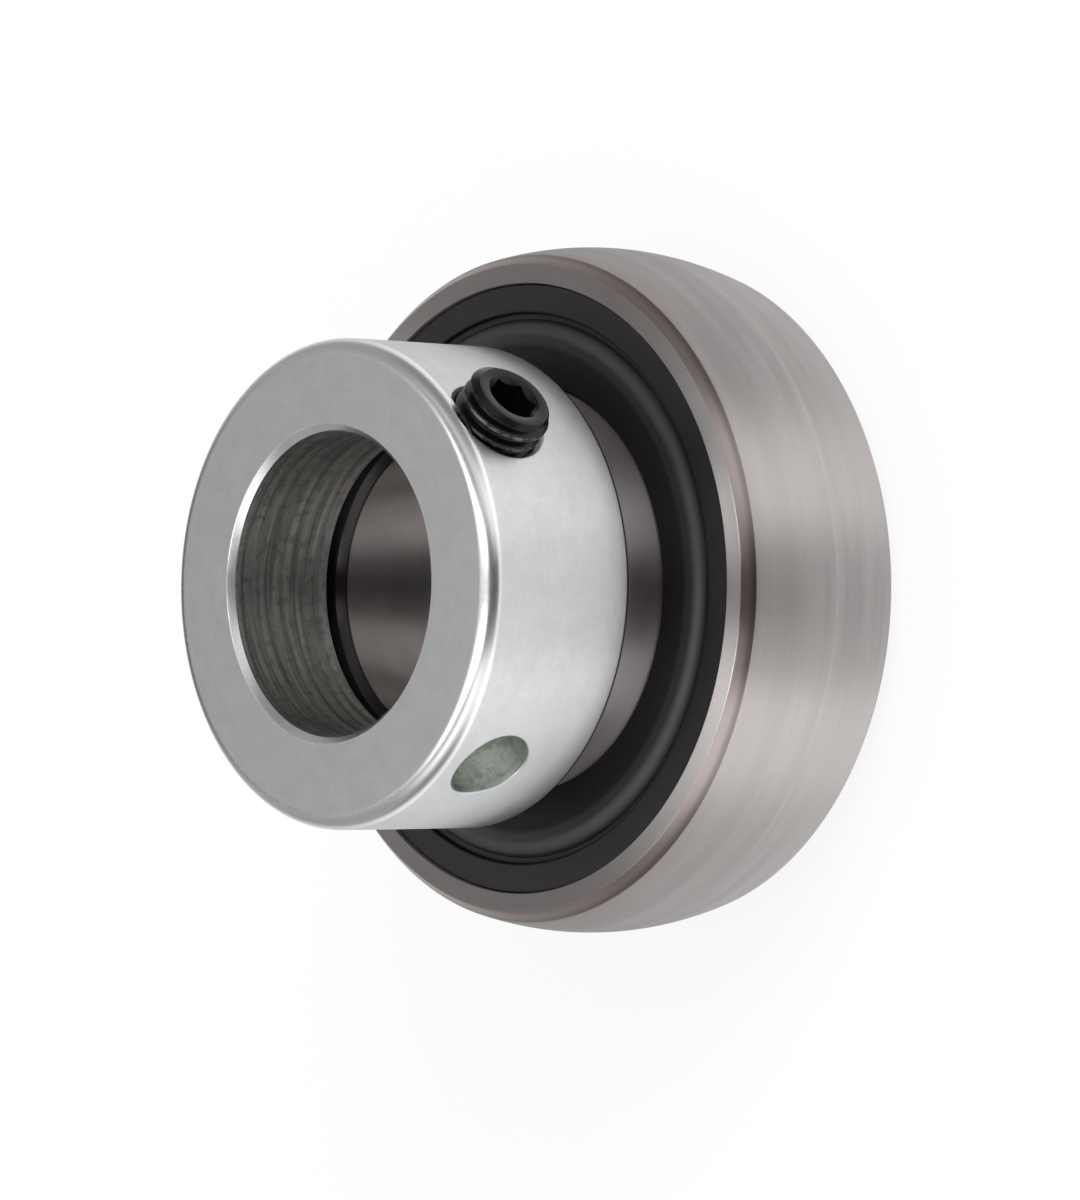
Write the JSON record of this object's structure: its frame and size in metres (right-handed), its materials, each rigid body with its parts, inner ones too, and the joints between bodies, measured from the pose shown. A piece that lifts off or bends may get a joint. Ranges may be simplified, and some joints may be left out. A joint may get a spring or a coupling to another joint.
{
  "type": "insert bearing",
  "caption": "Ball bearing insert with a spherical outer ring, rubber seals, a wide inner ring and an eccentric locking collar with a set screw.",
  "frame": {"origin": "centre of the spherical seat, on the shaft axis, in the centre plane of the balls", "axes": "+Z along the shaft axis towards the locking collar; +X towards the wide side of the cam"},
  "size_m": [0.047, 0.047, 0.031],
  "materials": {
    "ring_steel": "ground",
    "ball_steel": "polished",
    "cage_steel": "pressed sheet",
    "rivet_steel": "headed wire",
    "seal_rubber": "satin moulded",
    "plate_steel": "stamped sheet",
    "collar_zinc": "zinc plated, turned",
    "screw_black": "black oxide"
  },
  "bodies": {
    "outer_ring": {"outer_ring": "ring_steel", "seal_front": "seal_rubber", "seal_front_plate": "plate_steel", "seal_back": "seal_rubber", "seal_back_plate": "plate_steel"},
    "inner_ring": {"inner_ring": "ring_steel"},
    "cage": {"cage_half_front": "cage_steel", "cage_half_back": "cage_steel", "cage_rivets": "rivet_steel"},
    "ball_1": {"ball_1": "ball_steel"},
    "ball_2": {"ball_2": "ball_steel"},
    "ball_3": {"ball_3": "ball_steel"},
    "ball_4": {"ball_4": "ball_steel"},
    "ball_5": {"ball_5": "ball_steel"},
    "ball_6": {"ball_6": "ball_steel"},
    "ball_7": {"ball_7": "ball_steel"},
    "ball_8": {"ball_8": "ball_steel"},
    "locking_collar": {"locking_collar": "collar_zinc"},
    "set_screw": {"set_screw": "screw_black"}
  },
  "joints": [
    {"name": "inner_ring_spin", "type": "hinge", "parent": "outer_ring", "child": "inner_ring", "pos_m": [0, 0, 0], "axis": [0, 0, 1], "continuous": true},
    {"name": "cage_orbit", "type": "hinge", "parent": "outer_ring", "child": "cage", "pos_m": [0, 0, 0], "axis": [0, 0, 1], "continuous": true},
    {"name": "ball_1_spin", "type": "hinge", "parent": "cage", "child": "ball_1", "pos_m": [0.01675, 0, 0], "axis": [0, 0, 1], "continuous": true},
    {"name": "ball_2_spin", "type": "hinge", "parent": "cage", "child": "ball_2", "pos_m": [0.01184, 0.01184, 0], "axis": [0, 0, 1], "continuous": true},
    {"name": "ball_3_spin", "type": "hinge", "parent": "cage", "child": "ball_3", "pos_m": [0, 0.01675, 0], "axis": [0, 0, 1], "continuous": true},
    {"name": "ball_4_spin", "type": "hinge", "parent": "cage", "child": "ball_4", "pos_m": [-0.01184, 0.01184, 0], "axis": [0, 0, 1], "continuous": true},
    {"name": "ball_5_spin", "type": "hinge", "parent": "cage", "child": "ball_5", "pos_m": [-0.01675, 0, 0], "axis": [0, 0, 1], "continuous": true},
    {"name": "ball_6_spin", "type": "hinge", "parent": "cage", "child": "ball_6", "pos_m": [-0.01184, -0.01184, 0], "axis": [0, 0, 1], "continuous": true},
    {"name": "ball_7_spin", "type": "hinge", "parent": "cage", "child": "ball_7", "pos_m": [0, -0.01675, 0], "axis": [0, 0, 1], "continuous": true},
    {"name": "ball_8_spin", "type": "hinge", "parent": "cage", "child": "ball_8", "pos_m": [0.01184, -0.01184, 0], "axis": [0, 0, 1], "continuous": true},
    {"name": "collar_lock", "type": "hinge", "parent": "inner_ring", "child": "locking_collar", "pos_m": [0, 0, 0.01135], "axis": [0, 0, 1], "range_deg": [-22, 22]},
    {"name": "set_screw_travel", "type": "slide", "parent": "locking_collar", "child": "set_screw", "axis": [0.7466, 0.6652, 0], "range_m": [-0.0002, 0.0032]}
  ],
  "couplings": [
    {"joint": "cage_orbit", "follows": "inner_ring_spin", "ratio": 0.38152},
    {"joint": "ball_1_spin", "follows": "inner_ring_spin", "ratio": -1.9916},
    {"joint": "ball_2_spin", "follows": "inner_ring_spin", "ratio": -1.9916},
    {"joint": "ball_3_spin", "follows": "inner_ring_spin", "ratio": -1.9916},
    {"joint": "ball_4_spin", "follows": "inner_ring_spin", "ratio": -1.9916},
    {"joint": "ball_5_spin", "follows": "inner_ring_spin", "ratio": -1.9916},
    {"joint": "ball_6_spin", "follows": "inner_ring_spin", "ratio": -1.9916},
    {"joint": "ball_7_spin", "follows": "inner_ring_spin", "ratio": -1.9916},
    {"joint": "ball_8_spin", "follows": "inner_ring_spin", "ratio": -1.9916}
  ]
}
